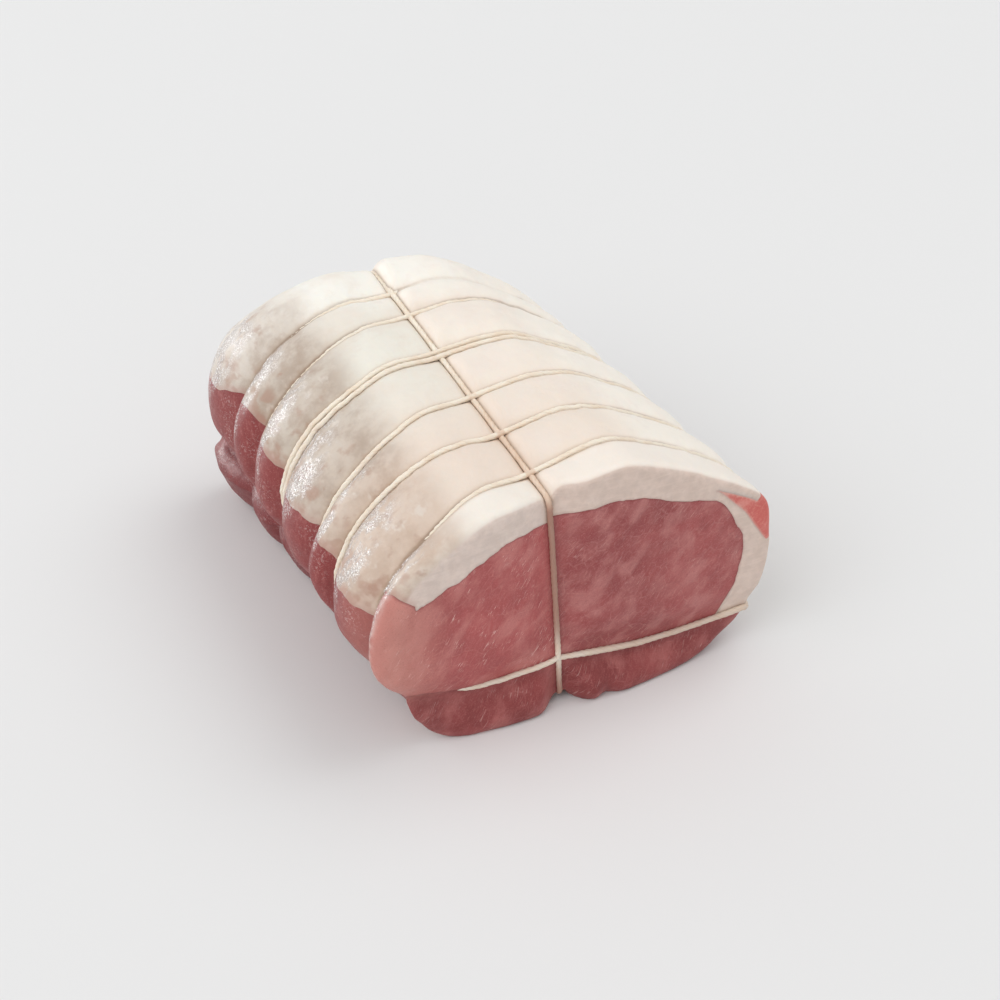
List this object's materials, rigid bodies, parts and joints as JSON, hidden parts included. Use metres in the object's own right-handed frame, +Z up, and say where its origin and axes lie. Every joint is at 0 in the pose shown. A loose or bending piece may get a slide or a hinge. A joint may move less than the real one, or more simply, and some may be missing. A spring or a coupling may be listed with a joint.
{
  "type": "tied veal roast",
  "caption": "Raw veal loin roast: lean muscles on a thin flap under a cap of pale fat, rolled and tied with cotton twine, cut square at the ends, lying on its flap.",
  "frame": {"origin": "under the middle of the roast's bounding box, on the surface that it rests on", "axes": "-Y faces out of the front cut, +Y along the roast to its rear cut, +Z up, -X towards the flank where the lean shows"},
  "size_m": [0.1301, 0.1509, 0.084],
  "materials": {
    "fat_left": "satin",
    "fat_right": "satin",
    "loin_left": "satin",
    "loin_right": "satin",
    "flap": "satin",
    "side_lean": "satin",
    "twine": "matte"
  },
  "bodies": {
    "root": {"fat_left": "fat_left", "fat_right": "fat_right", "loin_left": "loin_left", "loin_right": "loin_right", "flap": "flap", "side_lean": "side_lean", "twine": "twine"}
  },
  "joints": []
}
